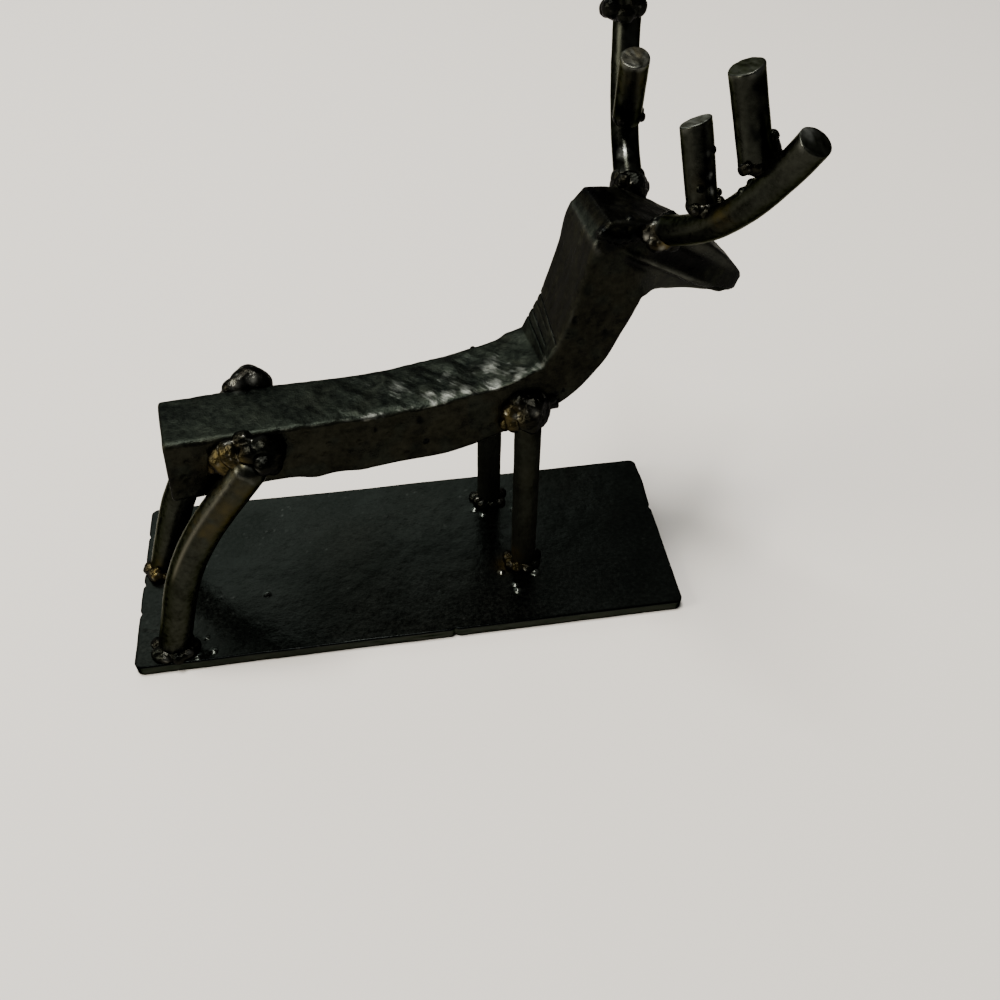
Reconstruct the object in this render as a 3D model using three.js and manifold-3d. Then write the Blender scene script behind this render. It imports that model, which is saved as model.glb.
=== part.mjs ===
// Stag forged and welded from iron bar and rod, standing on a flat plate.
// Millimetres, Z up. The origin is the middle of the plate's underside, and the stag looks towards +X.
import * as THREE from 'three';
import { mergeVertices } from 'three/addons/utils/BufferGeometryUtils.js';
import Module from 'manifold-3d';

const wasm = await Module();
wasm.setup();

// Stock that the stag is made from
const plateLength = 170;
const plateWidth = 64;
const plateThickness = 4;
const plateCorner = 2.5;
const barSize = 20;
const barEdge = 1.6;
const frontRod = 7.8;
const hindRod = 9.6;
const antlerRod = 7.5;

// Stance on the plate: the stag is turned a little, and its hind feet stand near the plate's rear end
const turn = THREE.MathUtils.degToRad(8.5);
const pivotFromRear = 63.3;
const pivotAside = -1.1;

// Heights above the plate and lengths along the body, from the place that the stag is turned about
const bodyLength = 165.3;
const bodyHeight = 63;
const rumpBack = 40.9;
const frontFootForward = 0.339 * bodyLength;
const frontStagger = 1.3;
const frontTopDrop = 1.5;
const hockHeight = 0.61 * bodyHeight;
const hockEase = 9;
const hindTopRise = 5;
const legSplay = 0.9;

// The hind legs were bent one at a time. The far one stands a little proud of the bar's top, with a
// smaller weld close about its end.
const hindBends = {
  near: { footBack: 54.7, hockBack: 42, topBack: 18.2, overrun: 0, weldBack: 5.6, weldReach: 3.2 },
  far: { footBack: 55, hockBack: 40.6, topBack: 16.8, overrun: 4.6, weldBack: 3.4, weldReach: 1.9 },
};

// Antlers: the station of the bar that they stand beside, how far out of and above its top edge the
// root lies, how far the tip lies from the root, and the beam's bends and tip as shares of that
const antlerStation = 11.56;
const antlerRootOut = 4;
const antlerRootRise = 1.1;
const antlerReach = 53.4;
const beamBends = [[0.071, 0.279, 0.125], [0.124, 0.487, 0.371], [0.2, 0.655, 0.728]];

// Tines of an antler: place along the beam on each side, length, and lean forward, inward and up
const tineKinds = {
  short: { nearShare: 0.29, farShare: 0.29, length: 18.6, lean: [-0.12, 0.3, 0.95] },
  tall: { nearShare: 0.675, farShare: 0.755, length: 19.8, lean: [-0.24, 0.16, 0.95] },
};

// Clearance that touching pieces keep, and how far a weld spreads past the rod it holds
const seam = 0.3;
const weldSpread = 2;
const frontWeldReach = 3;
const frontWeldBack = 4.5;

// Waves about a weld lump and up it, and their share of its radius
const weldWaves = [4, 3];
const weldRipple = 0.07;

const rodSides = 16;
const stepsPerStation = 3;

const blackIron = new THREE.MeshStandardMaterial({ color: 0x1d1c1a, roughness: 0.45, metalness: 0.9 });
const brownedIron = new THREE.MeshStandardMaterial({ color: 0x2b241b, roughness: 0.35, metalness: 0.9 });
const plateIron = new THREE.MeshStandardMaterial({ color: 0x171a1b, roughness: 0.5, metalness: 0.85 });
const weldIron = new THREE.MeshStandardMaterial({ color: 0x141312, roughness: 0.25, metalness: 0.9 });

// Closed mesh to solid and back, so that weld metal can be cut to the pieces that it joins
function toSolid(geometry) {
  const plain = geometry.clone();
  plain.deleteAttribute('normal');
  plain.deleteAttribute('uv');
  const merged = mergeVertices(plain, 1e-4);
  return new wasm.Manifold(new wasm.Mesh({
    numProp: 3,
    vertProperties: new Float32Array(merged.attributes.position.array),
    triVerts: new Uint32Array(merged.index.array),
  }));
}

function fromSolid(solid) {
  const { vertProperties, triVerts } = solid.getMesh();
  const geometry = new THREE.BufferGeometry();
  geometry.setAttribute('position', new THREE.BufferAttribute(vertProperties, 3));
  geometry.setIndex(new THREE.BufferAttribute(triVerts, 1));
  geometry.computeVertexNormals();
  return geometry;
}

function named(name, geometry, material) {
  const mesh = new THREE.Mesh(geometry, material);
  mesh.name = name;
  return mesh;
}

// Flat plate with its four corners knocked round
function plateGeometry() {
  const x = plateLength / 2;
  const y = plateWidth / 2;
  const r = plateCorner;
  const outline = new THREE.Shape();
  outline.moveTo(-x + r, -y);
  outline.lineTo(x - r, -y);
  outline.absarc(x - r, -y + r, r, -Math.PI / 2, 0);
  outline.lineTo(x, y - r);
  outline.absarc(x - r, y - r, r, 0, Math.PI / 2);
  outline.lineTo(-x + r, y);
  outline.absarc(-x + r, y - r, r, Math.PI / 2, Math.PI);
  outline.lineTo(-x, -y + r);
  outline.absarc(-x + r, -y + r, r, Math.PI, Math.PI * 1.5);
  return new THREE.ExtrudeGeometry(outline, { depth: plateThickness, bevelEnabled: false, curveSegments: 4 });
}

// The bar from rump to nose. Each station is a cross section: its middle from the rump and above the
// body's height as shares of the body's length, the angle that its top leans back, its depth and its
// widths at the top, the cheek ridge and the underside as shares of the bar's size, and how far down
// the ridge lies.
const stations = [
  { at: [0, 0.0048], lean: -6, deepShare: 1, wideShares: [0.94, 0.98, 1], ridgeShare: 0.45 },
  { at: [0.1748, 0], lean: 0, deepShare: 0.93, wideShares: [0.97, 1, 1], ridgeShare: 0.45 },
  { at: [0.3503, -0.0151], lean: 6, deepShare: 0.97, wideShares: [0.98, 1, 1], ridgeShare: 0.45 },
  { at: [0.4713, -0.0133], lean: 7, deepShare: 0.98, wideShares: [1, 1, 1], ridgeShare: 0.45 },
  { at: [0.562, 0.0018], lean: 13, deepShare: 0.9, wideShares: [1, 1, 1], ridgeShare: 0.45 },
  { at: [0.654, 0.0387], lean: 36, deepShare: 0.8, wideShares: [1.02, 1, 1], ridgeShare: 0.45 },
  { at: [0.6927, 0.092], lean: 57, deepShare: 0.89, wideShares: [1.05, 1.02, 1], ridgeShare: 0.45 },
  { at: [0.7157, 0.147], lean: 60, deepShare: 0.94, wideShares: [1.05, 1.02, 1], ridgeShare: 0.45 },
  { at: [0.735, 0.2008], lean: 54, deepShare: 1.02, wideShares: [1.05, 1.02, 1], ridgeShare: 0.45 },
  { at: [0.7465, 0.2402], lean: 38, deepShare: 1.28, wideShares: [1.04, 1, 0.95], ridgeShare: 0.45 },
  { at: [0.7629, 0.2553], lean: 29, deepShare: 1.43, wideShares: [0.98, 0.98, 0.86], ridgeShare: 0.42 },
  { at: [0.7992, 0.2498], lean: 19, deepShare: 1.3, wideShares: [0.9, 0.85, 0.62], ridgeShare: 0.48 },
  { at: [0.8463, 0.2299], lean: 10, deepShare: 1.12, wideShares: [0.78, 0.66, 0.4], ridgeShare: 0.6 },
  { at: [0.8947, 0.2063], lean: 3, deepShare: 0.91, wideShares: [0.62, 0.5, 0.28], ridgeShare: 0.72 },
  { at: [0.9528, 0.1712], lean: -6, deepShare: 0.62, wideShares: [0.42, 0.34, 0.2], ridgeShare: 0.8 },
  { at: [1, 0.1367], lean: -18, deepShare: 0.28, wideShares: [0.16, 0.16, 0.1], ridgeShare: 0.8 },
];

// Smooth run of one value of the stations, read at any place along the bar
function along(read) {
  const last = stations.length - 1;
  const curve = new THREE.CatmullRomCurve3(stations.map((station) => new THREE.Vector3(...read(station))));
  return (t) => curve.getPoint(t / last);
}
const middleAlong = along(({ at }) => [at[0] * bodyLength - rumpBack, 0, at[1] * bodyLength + bodyHeight]);
const leanAlong = along((station) => [station.lean, station.deepShare, station.ridgeShare]);
const widthAlong = along((station) => station.wideShares);

// Middle, upward direction, half depth and half widths of the cross section at any place
function sectionAt(t, grow) {
  const { x: lean, y: deepShare, z: ridgeShare } = leanAlong(t);
  const angle = THREE.MathUtils.degToRad(lean);
  return {
    middle: middleAlong(t),
    up: new THREE.Vector3(-Math.sin(angle), 0, Math.cos(angle)),
    half: (deepShare * barSize) / 2 + grow,
    halves: widthAlong(t).toArray().map((share) => (share * barSize) / 2 + grow),
    ridgeShare,
  };
}

// Outline of one cross section, as corner arcs of three points with a ridge point between them
function sectionRing(t, grow) {
  const { middle, up, half, halves, ridgeShare } = sectionAt(t, grow);
  const edge = Math.min(barEdge, half * 0.6, Math.min(...halves) * 0.6);
  const ridge = half - 2 * half * ridgeShare;
  const side = [];
  for (const share of [0, 0.5, 1]) {
    const a = share * Math.PI / 2;
    side.push([halves[0] - edge + edge * Math.sin(a), half - edge + edge * Math.cos(a)]);
  }
  side.push([halves[1], ridge]);
  for (const share of [0, 0.5, 1]) {
    const a = share * Math.PI / 2;
    side.push([halves[2] - edge + edge * Math.cos(a), -half + edge - edge * Math.sin(a)]);
  }
  const other = side.map(([y, z]) => [-y, z]).reverse();
  return [...side, ...other].map(([y, z]) => middle.clone().addScaledVector(up, z).setY(y));
}

// Skin through all cross sections, closed by a fan at the rump and at the nose
function barGeometry(grow = 0) {
  const last = stations.length - 1;
  const rings = [];
  for (let i = 0; i <= last * stepsPerStation; i += 1) {
    rings.push(sectionRing(i / stepsPerStation, grow));
  }
  const push = (ring, distance) => ring.forEach((point) => { point.x += distance; });
  push(rings[0], -grow);
  push(rings[rings.length - 1], grow);
  const count = rings[0].length;
  const points = rings.flat();
  const faces = [];
  for (let i = 0; i < rings.length - 1; i += 1) {
    for (let k = 0; k < count; k += 1) {
      const a = i * count + k;
      const b = i * count + ((k + 1) % count);
      faces.push(a, a + count, b, b, a + count, b + count);
    }
  }
  const middleOf = (ring) => ring.reduce((sum, p) => sum.add(p), new THREE.Vector3()).divideScalar(count);
  const rump = points.length;
  const nose = rump + 1;
  points.push(middleOf(rings[0]), middleOf(rings[rings.length - 1]));
  const noseStart = (rings.length - 1) * count;
  for (let k = 0; k < count; k += 1) {
    const next = (k + 1) % count;
    faces.push(rump, k, next);
    faces.push(nose, noseStart + next, noseStart + k);
  }
  const geometry = new THREE.BufferGeometry().setFromPoints(points);
  geometry.setIndex(faces);
  geometry.computeVertexNormals();
  return geometry;
}

// Round rod carried along a curve, cut square at both ends
function rodGeometry(curve, diameter, steps) {
  const corners = [];
  for (let k = 0; k < rodSides; k += 1) {
    const a = (k / rodSides) * Math.PI * 2;
    corners.push(new THREE.Vector2(Math.cos(a), Math.sin(a)).multiplyScalar(diameter / 2));
  }
  return new THREE.ExtrudeGeometry(new THREE.Shape(corners), { steps, extrudePath: curve, bevelEnabled: false });
}

// Axis of each leg, run on below the plate's top, where the leg is cut off level. Side is -1 on the
// stag's right and +1 on its left.
function frontLegAxis(side) {
  const forward = frontFootForward - side * frontStagger;
  const top = barSize / 2 + frontRod / 2 + seam;
  return new THREE.LineCurve3(
    new THREE.Vector3(forward, side * (top + legSplay), -frontRod / 2),
    new THREE.Vector3(forward, side * top, bodyHeight + frontTopDrop),
  );
}

function hindLegAxis(side, bend) {
  const aside = barSize / 2 + hindRod / 2 + seam;
  const foot = new THREE.Vector3(-bend.footBack, side * (aside + legSplay), 0);
  const hock = new THREE.Vector3(-bend.hockBack, side * aside, hockHeight);
  const top = new THREE.Vector3(-bend.topBack, side * aside, bodyHeight + hindTopRise);
  const thigh = top.clone().sub(hock).normalize();
  const shin = foot.clone().sub(hock).normalize();
  top.addScaledVector(thigh, bend.overrun);
  const below = hock.clone().addScaledVector(shin, hockEase);
  const above = hock.clone().addScaledVector(thigh, hockEase);
  foot.addScaledVector(shin, hindRod / 2);
  return new THREE.CatmullRomCurve3([foot, below, above, top]);
}

// Axis of an antler's beam: out from the side of the crown, then up and forward
function beamAxis(side) {
  const { middle, up, half, halves } = sectionAt(antlerStation, 0);
  const root = middle.addScaledVector(up, half + antlerRootRise).setY(side * (halves[0] + antlerRootOut));
  const bends = beamBends.map(([forward, out, rise]) => (
    new THREE.Vector3(forward, side * out, rise).multiplyScalar(antlerReach).add(root)
  ));
  return new THREE.CubicBezierCurve3(root, ...bends);
}

// Axis of a tine: it leans inward, and its square-cut foot stands clear of the beam by the seam
function tineAxis(side, tine, share) {
  const beam = beamAxis(side);
  const base = beam.getPoint(share);
  const [forward, inward, up] = tine.lean;
  const lean = new THREE.Vector3(forward, -side * inward, up).normalize();
  const angle = beam.getTangent(share).angleTo(lean);
  const lift = ((antlerRod / 2) * (1 + Math.cos(angle)) + seam) / Math.sin(angle);
  const foot = base.clone().addScaledVector(lean, lift);
  return new THREE.LineCurve3(foot, foot.clone().addScaledVector(lean, tine.length));
}

// Piece with others cut out of it
function cutAway(piece, others) {
  return fromSolid(others.reduce((solid, other) => solid.subtract(toSolid(other)), toSolid(piece)));
}

// Rippled lump of weld metal about a joint, less the pieces that it holds, each grown by the seam
function weldGeometry(centre, radii, held) {
  const lump = new THREE.SphereGeometry(1, 14, 10);
  const spot = new THREE.Vector3();
  const places = lump.attributes.position;
  for (let i = 0; i < places.count; i += 1) {
    spot.fromBufferAttribute(places, i);
    const about = Math.atan2(spot.z, spot.x);
    const ripple = Math.cos(weldWaves[0] * about) * Math.sin(weldWaves[1] * Math.acos(spot.y));
    spot.multiplyScalar(1 + weldRipple * ripple);
    places.setXYZ(i, spot.x, spot.y, spot.z);
  }
  lump.scale(...radii);
  lump.translate(centre.x, centre.y, centre.z);
  return cutAway(lump, held);
}

const grown = (diameter) => diameter + 2 * seam;
const ground = new THREE.BoxGeometry(plateLength * 2, plateLength * 2, plateLength);
ground.translate(0, 0, seam - plateLength / 2);
const barCutter = barGeometry(seam);

const stag = new THREE.Group();
stag.position.set(pivotFromRear - plateLength / 2, pivotAside, plateThickness);
stag.rotation.z = turn;
stag.add(named('body_bar', barGeometry(), blackIron));

const sides = [['near', -1], ['far', 1]];
for (const [word, side] of sides) {
  const legs = [
    {
      name: 'front',
      axis: frontLegAxis(side),
      rod: frontRod,
      steps: 1,
      weldBack: frontWeldBack,
      reach: frontWeldReach,
      material: blackIron,
    },
    {
      name: 'hind',
      axis: hindLegAxis(side, hindBends[word]),
      rod: hindRod,
      steps: 14,
      weldBack: hindBends[word].weldBack,
      reach: hindBends[word].weldReach,
      material: brownedIron,
    },
  ];
  for (const leg of legs) {
    const cutter = rodGeometry(leg.axis, grown(leg.rod), leg.steps);
    const spread = leg.rod / 2 + weldSpread;
    const foot = leg.axis.getPoint(0).lerp(leg.axis.getPoint(0.1), 0.4).setZ(0);
    const round = leg.rod / 2 + leg.reach;
    const shoulder = leg.axis.getPoint(1).addScaledVector(leg.axis.getTangent(1), -leg.weldBack);
    shoulder.y -= side * (leg.rod * 0.3);
    const limb = cutAway(rodGeometry(leg.axis, leg.rod, leg.steps), [ground]);
    stag.add(named(`${word}_${leg.name}_leg`, limb, leg.material));
    stag.add(named(
      `${word}_${leg.name}_foot_weld`,
      weldGeometry(foot, [spread, spread, weldSpread + 1], [cutter, ground]),
      weldIron,
    ));
    stag.add(named(
      `${word}_${leg.name}_shoulder_weld`,
      weldGeometry(shoulder, [round, leg.rod * 0.62, round], [cutter, barCutter]),
      weldIron,
    ));
  }

  const beamSteps = 18;
  const beam = beamAxis(side);
  const beamCutter = rodGeometry(beam, grown(antlerRod), beamSteps);
  const rootSpread = antlerRod / 2 + weldSpread;
  const root = beam.getPoint(0).addScaledVector(new THREE.Vector3(0, -side * 0.11, -0.16), antlerRod);
  stag.add(named(`${word}_antler_beam`, rodGeometry(beam, antlerRod, beamSteps), brownedIron));
  stag.add(named(
    `${word}_antler_root_weld`,
    weldGeometry(root, [rootSpread, rootSpread - 1, rootSpread - 0.5], [beamCutter, barCutter]),
    weldIron,
  ));

  for (const [name, tine] of Object.entries(tineKinds)) {
    const axis = tineAxis(side, tine, tine[`${word}Share`]);
    const cutter = rodGeometry(axis, grown(antlerRod), 1);
    const joint = axis.getPoint(0);
    const round = antlerRod / 2 + weldSpread * 0.5;
    stag.add(named(`${word}_${name}_tine`, rodGeometry(axis, antlerRod, 1), brownedIron));
    stag.add(named(
      `${word}_${name}_tine_weld`,
      weldGeometry(joint, [round, round, round * 0.8], [cutter, beamCutter]),
      weldIron,
    ));
  }
}

const statue = new THREE.Group();
statue.add(named('base_plate', plateGeometry(), plateIron));
statue.add(stag);

export default statue;
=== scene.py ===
import math
import bpy
import numpy as np
from mathutils import Matrix, Vector


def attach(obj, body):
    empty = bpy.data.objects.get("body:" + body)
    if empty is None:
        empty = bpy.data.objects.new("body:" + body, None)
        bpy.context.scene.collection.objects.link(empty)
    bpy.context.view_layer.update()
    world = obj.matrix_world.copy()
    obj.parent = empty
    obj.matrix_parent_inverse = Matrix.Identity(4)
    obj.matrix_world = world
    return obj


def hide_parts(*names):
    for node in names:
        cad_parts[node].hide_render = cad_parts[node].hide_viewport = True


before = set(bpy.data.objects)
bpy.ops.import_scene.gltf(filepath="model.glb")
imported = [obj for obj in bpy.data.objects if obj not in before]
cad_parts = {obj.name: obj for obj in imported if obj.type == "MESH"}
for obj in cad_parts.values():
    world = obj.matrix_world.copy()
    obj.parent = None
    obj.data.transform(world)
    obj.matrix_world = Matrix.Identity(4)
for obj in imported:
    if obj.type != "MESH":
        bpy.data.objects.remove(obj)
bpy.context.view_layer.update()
print("frame:", len(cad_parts), "nodes")

mm = 0.001
# How the stag stands on the plate, in degrees and mm
stance = {"turn": 8.5, "x": -21.7, "y": -1.1, "plateTop": 4}

# What hammer and torch left on the stag, with painted shade, glints and a golden highlight among them, each
# as x, y, z and size in its own mm
marks = {
    "temperAndGleam": [
        # Heat tint; (-24.4, -17.6, 62.4), (-29, -18, 56.8) and (-34, -18, 50.6) also paint a golden highlight
        # down the near thigh
        (-26.2, -14.6, 68.6, 4.4), (-28.6, -12, 65, 3.4), (-22.6, -15.6, 70, 2.6), (-24.4, -17.6, 62.4, 5),
        (-29, -18, 56.8, 5.4), (-34, -18, 50.6, 5), (51.6, -13.6, 63.4, 3.4), (51.4, -12, 59.6, 3),
        (52.4, -16.8, 2, 3.2), (53.4, -17.4, 6, 3), (90.4, -16.4, 113.6, 1.8), (-57, 12, 3, 4.4),
        (92.4, 19, 142, 4), (92.6, 18, 148, 4), (93, 25, 143, 3.4), (95, -25, 134, 3),
        (93.6, -33, 130.6, 3.4),
    ],
    "beads": [
        (-13.8, -10, 68.2, 0.8), (-12.6, -10, 66.8, 0.9), (-14, -10, 65.3, 0.8), (-12.4, -10, 64.4, 0.7),
        (-13.6, -10, 62.9, 0.8), (-11.2, -10, 65.6, 0.6), (-9.6, -10, 68.6, 0.7), (28.4, -10, 57.6, 0.9),
        (14.5, -10, 65.6, 0.6), (67.6, -10, 62.6, 0.9), (66.8, -10, 65.6, 0.8), (69, -10, 66.4, 0.6),
        (76.6, -9.3, 115.2, 1.7), (78.8, -9.6, 114, 1.5), (80.9, -9.5, 113.4, 1.8), (83, -9.3, 113, 1.6),
        (85.2, -9.2, 113.4, 1.9), (82, -9.3, 115.4, 1), (48, 10, 71, 0.9), (84.5, -7.6, 117.2, 1.1),
        (95.7, -21.8, 140.6, 0.9), (95.2, -23.2, 135.4, 0.8), (92.5, -24.6, 133, 0.8),
        (94.9, -22.6, 138.2, 0.5), (96.9, -36.4, 155.4, 1), (95.6, -35.2, 138.4, 1.2),
        (97, -36.2, 140.8, 1), (94.4, -33.2, 136.6, 0.9), (-36.6, -19.2, 46, 0.5), (56.4, -18, 21, 0.5),
    ],
    "slagAndShade": [
        (76.6, -9.6, 114.6, 2), (79, -10, 113.4, 2.6), (82, -9.8, 112.8, 2.8), (85, -9.6, 112.6, 3),
        # (82, 5, 118.4) paints the antlers' shadow on the head's top
        (82, 5, 118.4, 4.5), (58.6, -13.4, 64.4, 4.6), (61.4, -13.8, 61.4, 4.4), (-16.2, -16.6, 68, 3.6),
        # Painted shade down the shaded right sides of the near tines, to (93.3, -37.7, 161.5)
        (95.3, -25.2, 132.3, 3.2), (94.9, -24.1, 136.1, 3), (94.4, -22.9, 139.8, 2.4),
        (96.4, -39.7, 149.5, 2.6), (95.4, -39, 153.5, 2.5), (94.4, -38.3, 157.5, 2.4),
        (93.3, -37.7, 161.5, 2.2), (-13, -11.6, 66.6, 4), (-16, 12, 72.6, 4.4), (92, 18.6, 120, 5.4),
        (92, 18.4, 126, 4.6), (92.2, 18, 131, 3.4),
    ],
    "bareAndGlint": [
        # Bare flecks, most of them painted glints: on the welds, the tines, the far beam's glossy streak and
        # the near beam's tip
        (92.2, 17, 121, 1.2), (91.8, 17.2, 124.6, 1.2), (91.9, 17.4, 127.6, 1.1), (102, -45.4, 155.6, 1.6),
        (-14.4, 9.6, 74.8, 1.2), (-19, 9.8, 73.8, 1.3), (-19, -14.6, 70.2, 0.8), (87.2, -12.6, 114, 0.9),
        (90.2, -15.4, 112.6, 0.7), (58.4, -16.4, 66, 0.8), (94.8, -25.2, 132.7, 0.6),
        (94.4, -24.1, 135.5, 0.5), (93.9, -22.9, 140.6, 0.45), (95.3, -25.2, 132.3, 0.5),
        (94.9, -24.1, 136.1, 0.4), (53.4, -14.6, 64.2, 0.6), (-57.6, -22, 1.6, 0.7),
        (-50.4, -21.4, 1.4, 0.6),
    ],
    "plateBeads": [
        (-45.7, -9.8, 4, 0.9), (40.2, -13.4, 4, 1.3), (33.5, -19.9, 4, 1), (33, -17.6, 4, 0.8),
        (29.4, -12, 4, 0.8), (42, -9, 4, 0.6), (24.6, 16.4, 4, 1), (27, 13.6, 4, 0.8), (37.4, 14.6, 4, 0.7),
        (-61.6, -29, 4, 0.8), (-79.4, -25.8, 4, 0.8), (-66.4, -30.4, 4, 0.9), (-64, -24, 4, 0.6),
        (-80.6, 12, 4, 0.8), (-72, 19, 4, 0.7),
    ],
}


# From the stag's own frame to the part's: turned about the vertical, set on the plate, mm to metres.
def placeStag(points):
    turn = math.radians(stance["turn"])
    x = stance["x"] + points[..., 0] * math.cos(turn) - points[..., 1] * math.sin(turn)
    y = stance["y"] + points[..., 0] * math.sin(turn) + points[..., 1] * math.cos(turn)
    return np.stack([x, y, points[..., 2] + stance["plateTop"]], axis=-1) * mm


# A fixed number from 0 to 1 for each cell: its coordinates times large primes, mixed, cut to 16 bits.
def cellNumber(cells, seed):
    primes = np.array([374761393, 668265263, 1274126177])[:cells.shape[-1]]
    mixed = (cells * primes).sum(axis=-1) + seed * 69069
    mixed = mixed & 0xffffffff
    mixed = ((mixed ^ (mixed >> 13)) * 1103515245) & 0xffffffff
    return ((mixed ^ (mixed >> 16)) & 0xffff) / 65535


# Soft grain from -1 to 1: the numbers at a cell's eight corners, blended by 3f^2 - 2f^3 along each axis.
def grain(points, size, seed=0):
    spots = points / size + seed * 7.31
    low = np.floor(spots).astype(np.int64)
    part = spots - low
    part = part * part * (3 - 2 * part)
    total = np.zeros(points.shape[:-1])
    for corner in range(8):
        step = np.array([corner & 1, corner >> 1 & 1, corner >> 2 & 1])
        weight = np.prod(np.where(step == 1, part, 1 - part), axis=-1)
        total += weight * cellNumber(low + step, seed)
    return total * 2 - 1


# Hammer scallops: squared distance to the nearest of one jittered blow a cell, 0 in a dent, 1 on a ridge.
def scallops(across, along, size, seed):
    spots = np.stack([across, along], axis=-1) / size
    low = np.floor(spots).astype(np.int64)
    nearest = np.full(across.shape, 9.0)
    for i in (-1, 0, 1):
        for j in (-1, 0, 1):
            cell = low + np.array([i, j])
            blow = cell + np.stack([cellNumber(cell, seed), cellNumber(cell, seed + 1)], axis=-1)
            nearest = np.minimum(nearest, ((spots - blow) ** 2).sum(axis=-1))
    return np.minimum(nearest, 1)


# 0 below start, 1 above end, and 3f^2 - 2f^3 between.
def ease(value, start, end):
    part = np.clip((value - start) / (end - start), 0, 1)
    return part * part * (3 - 2 * part)


# Nearness to spots: the largest of exp(-(distance / size)^2) over them.
def nearSpots(points, spots):
    near = np.zeros(points.shape[:-1])
    for *spot, size in spots:
        near = np.maximum(near, np.exp(-((points - spot) ** 2).sum(axis=-1) / size ** 2))
    return near


# Beads of spatter: the tallest of 0.7 size sqrt(1 - (distance / size)^2), a low dome over each spot.
def beadRise(points, spots):
    rise = np.zeros(points.shape[:-1])
    for *spot, size in spots:
        part = ((points - spot) ** 2).sum(axis=-1) / size ** 2
        rise = np.maximum(rise, 0.7 * size * np.sqrt(np.maximum(1 - part, 0)))
    return rise


# Colour layers of a piece of the stag, from 0 to 1 at each point: wear and painted highlights in bright, heat
# tint and a painted golden gleam in yellow, slag and painted shade in black, and browned. Each is a sum or
# the largest of nearSpots times grain, cut to that range.
def layersOf(points, wearAndHighlight, brown, seed):
    patchy = 0.7 + 0.8 * grain(points, 1.5, seed)
    flecks = 0.6 + 0.6 * grain(points * (1, 1, 0.4), 0.8, seed + 1)
    beads = ease(beadRise(points, marks["beads"]), 0.05, 0.3)
    return {
        "wearAndHighlight": np.clip(wearAndHighlight + nearSpots(points, marks["bareAndGlint"]) * flecks, 0, 1),
        "temperAndGleam": np.clip(nearSpots(points, marks["temperAndGleam"]) * patchy, 0, 1),
        "slagAndShade": np.clip(np.maximum(beads, nearSpots(points, marks["slagAndShade"]) * patchy * 1.3), 0, 1),
        "brown": np.clip(brown, 0, 1) + points[..., 0] * 0,
    }


# Curve through stations: on each stretch a cubic whose end slopes come from its neighbours' distances to
# the power 1/2.
def smoothRun(values, places):
    values = np.asarray(values, float)
    ends = np.concatenate([2 * values[:1] - values[1:2], values, 2 * values[-1:] - values[-2:-1]])
    index = np.clip(np.floor(places).astype(int), 0, len(values) - 2)
    part = (places - index)[..., None]
    before, start, end, after = (ends[index + k] for k in range(4))
    pairs = ((before, start), (start, end), (end, after))
    gaps = [np.linalg.norm(b - a, axis=-1, keepdims=True) ** 0.5 for a, b in pairs]
    gaps = [np.where(gap < 1e-3, np.maximum(gaps[1], 1e-3), gap) for gap in gaps]
    first, middle, last = gaps
    slopeIn = (start - before) / first - (end - before) / (first + middle) + (end - start) / middle
    slopeOut = (end - start) / middle - (after - start) / (middle + last) + (after - end) / last
    slopeIn = slopeIn * middle
    slopeOut = slopeOut * middle
    bend = -3 * start + 3 * end - 2 * slopeIn - slopeOut
    twist = 2 * start - 2 * end + slopeIn + slopeOut
    return start + slopeIn * part + bend * part ** 2 + twist * part ** 3


# Straight lines through the same stations.
def straightRun(values, places):
    values = np.asarray(values, float)
    index = np.clip(np.floor(places).astype(int), 0, len(values) - 2)
    part = (places - index)[..., None]
    return values[index] * (1 - part) + values[index + 1] * part


# Outward directions on a grid of rings: the cross product of the steps between rings and around them.
def ringNormals(rings):
    alongStep = np.gradient(rings, axis=0)
    aroundStep = np.roll(rings, -1, axis=1) - np.roll(rings, 1, axis=1)
    normals = np.cross(alongStep, aroundStep)
    normals /= np.maximum(np.linalg.norm(normals, axis=-1, keepdims=True), 1e-9)
    outward = rings - rings.mean(axis=1, keepdims=True)
    return normals * np.sign((normals * outward).sum())


# Skin over a grid of rings, closed by one point at each end. The sign of its volume turns the faces outwards.
def ringPiece(name, rings, node, material, layers):
    count, around = rings.shape[:2]
    points = np.concatenate([rings.reshape(-1, 3), rings[:1].mean(axis=1), rings[-1:].mean(axis=1)])
    index = np.arange(count * around).reshape(count, around)
    a, b = index[:-1], index[1:]
    quads = np.stack([a, b, np.roll(b, -1, axis=1), np.roll(a, -1, axis=1)], axis=-1).reshape(-1, 4)
    first = np.stack([np.full(around, count * around), index[0], np.roll(index[0], -1)], axis=-1)
    last = np.stack([np.full(around, count * around + 1), np.roll(index[-1], -1), index[-1]], axis=-1)
    layers = {key: np.concatenate([v.reshape(-1), v[:1].mean(axis=1), v[-1:].mean(axis=1)])
              for key, v in layers.items()}
    makePiece(name, points, quads, np.concatenate([first, last]), node, material, layers)


# A smooth mesh of quads and triangles with its layers. Each face's corner times the cross of the next two
# sums to six times the volume, so a negative sum turns every face round.
def makePiece(name, points, quads, triangles, node, material, layers):
    corners = points[quads]
    fan = np.cross(corners[:, 1], corners[:, 2]) + np.cross(corners[:, 2], corners[:, 3])
    if (corners[:, 0] * fan).sum() < 0:
        quads, triangles = quads[:, ::-1], triangles[:, ::-1]
    mesh = bpy.data.meshes.new(name)
    mesh.from_pydata(points.tolist(), [], quads.tolist() + triangles.tolist())
    mesh.polygons.foreach_set("use_smooth", np.ones(len(mesh.polygons), bool))
    for key, values in layers.items():
        mesh.attributes.new(key, "FLOAT", "POINT").data.foreach_set("value", values.astype(np.float32))
    mesh.materials.append(material)
    mesh.update()
    piece = bpy.data.objects.new(name, mesh)
    bpy.context.scene.collection.objects.link(piece)
    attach(piece, "root")
    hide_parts(node)


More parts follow.
